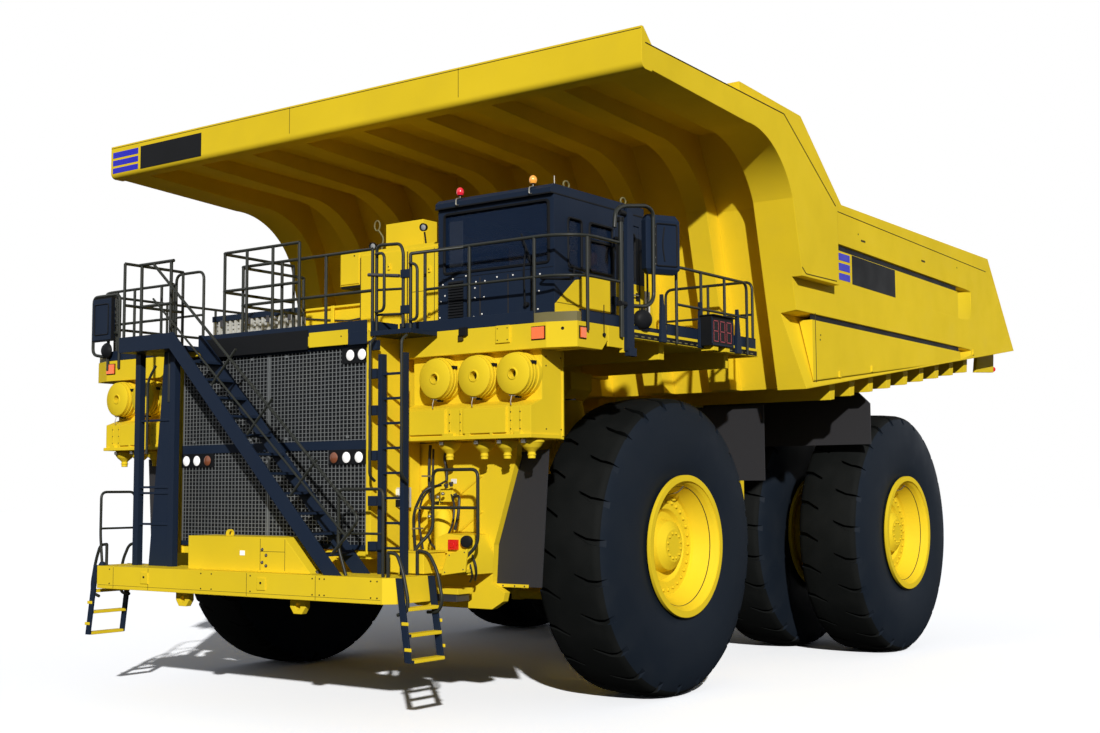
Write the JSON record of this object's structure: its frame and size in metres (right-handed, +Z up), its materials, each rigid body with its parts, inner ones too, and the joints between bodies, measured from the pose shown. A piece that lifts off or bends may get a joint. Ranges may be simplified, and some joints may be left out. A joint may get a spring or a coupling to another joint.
{
  "type": "mining dump truck",
  "caption": "Rigid-frame mining dump truck: tipping bed with canopy, steered front wheels, twin rear wheels, cab with door, decks, stairs and radiator grille.",
  "frame": {"origin": "middle of the box that holds the whole truck, on the ground", "axes": "+X the truck's left (cab) side, -Y its front, +Z up"},
  "size_m": [10.074, 15.73, 8.3],
  "materials": {
    "yellow_paint": "gloss enamel",
    "navy_paint": "satin enamel",
    "tyre_rubber": "matt rubber",
    "flap_rubber": "matt rubber",
    "glass": "tinted",
    "grille_steel": "dark wire",
    "hard_chrome": "polished rod",
    "dark_steel": "satin",
    "light_grey": "satin",
    "lamp": "clear lens",
    "cab_trim": "soft trim"
  },
  "bodies": {
    "chassis": {"air_cleaners_left": "yellow_paint", "air_cleaners_right": "yellow_paint", "boarding_steps": "navy_paint", "bumper_cabinet": "yellow_paint", "cab_glass": "glass", "cab_interior": "cab_trim", "cab_shell": "navy_paint", "control_cabinets": "yellow_paint", "deck_center": "yellow_paint", "deck_left": "yellow_paint", "deck_right": "yellow_paint", "engine_block": "dark_steel", "front_bumper": "yellow_paint", "front_struts": "yellow_paint", "fuel_tank": "yellow_paint", "guard_rails": "navy_paint", "hydraulic_tank": "yellow_paint", "ladders": "navy_paint", "lamps": "lamp", "main_frame": "yellow_paint", "mirror_left": "navy_paint", "mirror_right": "navy_paint", "mud_guards": "flap_rubber", "payload_display": "navy_paint", "radiator": "yellow_paint", "radiator_grille": "grille_steel", "rear_axle_housing": "yellow_paint", "rear_struts": "dark_steel", "retarder_grid": "light_grey", "stairway": "navy_paint", "uprights": "yellow_paint"},
    "bed": {"bed_beams": "yellow_paint", "bed_bolsters": "yellow_paint", "bed_mud_flaps": "flap_rubber", "bed_shell": "yellow_paint", "canopy_ribs": "yellow_paint"},
    "knuckle_left": {"knuckle_left": "yellow_paint"},
    "knuckle_right": {"knuckle_right": "yellow_paint"},
    "front_wheel_left": {"front_tyre_left": "tyre_rubber", "front_rim_left": "yellow_paint"},
    "front_wheel_right": {"front_tyre_right": "tyre_rubber", "front_rim_right": "yellow_paint"},
    "rear_wheels_left": {"rear_tyres_left": "tyre_rubber", "rear_rims_left": "yellow_paint"},
    "rear_wheels_right": {"rear_tyres_right": "tyre_rubber", "rear_rims_right": "yellow_paint"},
    "tie_rod": {"tie_rod": "yellow_paint"},
    "steering_barrel_left": {"steering_barrel_left": "yellow_paint"},
    "steering_barrel_right": {"steering_barrel_right": "yellow_paint"},
    "steering_rod_left": {"steering_rod_left": "hard_chrome"},
    "steering_rod_right": {"steering_rod_right": "hard_chrome"},
    "hoist_barrels": {"hoist_barrels": "yellow_paint"},
    "hoist_stages": {"hoist_stages": "hard_chrome"},
    "hoist_rods": {"hoist_rods": "hard_chrome"},
    "cab_door": {"cab_door": "navy_paint", "cab_door_glass": "glass"}
  },
  "joints": [
    {"name": "steering_left", "type": "hinge", "parent": "chassis", "child": "knuckle_left", "pos_m": [2.1, -3.357, 2.015], "axis": [0, 0, 1], "range_deg": [-30, 30]},
    {"name": "steering_right", "type": "hinge", "parent": "chassis", "child": "knuckle_right", "pos_m": [-2.1, -3.357, 2.015], "axis": [0, 0, 1], "range_deg": [-30, 30]},
    {"name": "tie_rod_pivot", "type": "hinge", "parent": "knuckle_left", "child": "tie_rod", "pos_m": [2.1, -2.607, 1.25], "axis": [0, 0, 1], "range_deg": [-30, 30]},
    {"name": "steering_barrel_left_pivot", "type": "hinge", "parent": "chassis", "child": "steering_barrel_left", "pos_m": [0.85, -2.967, 1.25], "axis": [0, 0, 1], "range_deg": [-3, 3]},
    {"name": "steering_rod_left_slide", "type": "slide", "parent": "steering_barrel_left", "child": "steering_rod_left", "axis": [0.9997, 0.024, 0], "range_m": [-0.26, 0.26]},
    {"name": "steering_barrel_right_pivot", "type": "hinge", "parent": "chassis", "child": "steering_barrel_right", "pos_m": [-0.85, -2.967, 1.25], "axis": [0, 0, 1], "range_deg": [-3, 3]},
    {"name": "steering_rod_right_slide", "type": "slide", "parent": "steering_barrel_right", "child": "steering_rod_right", "axis": [-0.9997, 0.024, 0], "range_m": [-0.26, 0.26]},
    {"name": "front_wheel_left_spin", "type": "hinge", "parent": "knuckle_left", "child": "front_wheel_left", "pos_m": [3.41, -3.357, 2.015], "axis": [1, 0, 0], "continuous": true},
    {"name": "rear_wheels_left_spin", "type": "hinge", "parent": "chassis", "child": "rear_wheels_left", "pos_m": [2.98, 3.293, 2.015], "axis": [1, 0, 0], "continuous": true},
    {"name": "front_wheel_right_spin", "type": "hinge", "parent": "knuckle_right", "child": "front_wheel_right", "pos_m": [-3.41, -3.357, 2.015], "axis": [1, 0, 0], "continuous": true},
    {"name": "rear_wheels_right_spin", "type": "hinge", "parent": "chassis", "child": "rear_wheels_right", "pos_m": [-2.98, 3.293, 2.015], "axis": [1, 0, 0], "continuous": true},
    {"name": "bed_tip", "type": "hinge", "parent": "chassis", "child": "bed", "pos_m": [0, 4.643, 3.2], "axis": [-1, 0, 0], "range_deg": [0, 45]},
    {"name": "hoist_barrels_pivot", "type": "hinge", "parent": "chassis", "child": "hoist_barrels", "pos_m": [0, 0.543, 1.75], "axis": [-1, 0, 0], "range_deg": [0, 25.31]},
    {"name": "hoist_stages_slide", "type": "slide", "parent": "hoist_barrels", "child": "hoist_stages", "axis": [0, -0.1504, 0.9886], "range_m": [0, 1.551]},
    {"name": "hoist_rods_slide", "type": "slide", "parent": "hoist_stages", "child": "hoist_rods", "axis": [0, -0.1504, 0.9886], "range_m": [0, 1.551]},
    {"name": "cab_door_hinge", "type": "hinge", "parent": "chassis", "child": "cab_door", "pos_m": [4.018, -5.077, 5.4], "axis": [0, 0, -1], "range_deg": [0, 45]}
  ],
  "couplings": [
    {"joint": "steering_right", "follows": "steering_left", "ratio": 1},
    {"joint": "tie_rod_pivot", "follows": "steering_left", "ratio": -1},
    {"joint": "steering_barrel_left_pivot", "follows": "steering_left", "ratio": -0.00694},
    {"joint": "steering_rod_left_slide", "follows": "steering_left", "m_per_rad": -0.40098},
    {"joint": "steering_barrel_right_pivot", "follows": "steering_left", "ratio": -0.00694},
    {"joint": "steering_rod_right_slide", "follows": "steering_left", "m_per_rad": 0.40098},
    {"joint": "hoist_barrels_pivot", "follows": "bed_tip", "ratio": 0.56228},
    {"joint": "hoist_stages_slide", "follows": "bed_tip", "m_per_rad": 1.9727},
    {"joint": "hoist_rods_slide", "follows": "bed_tip", "m_per_rad": 1.9727}
  ]
}
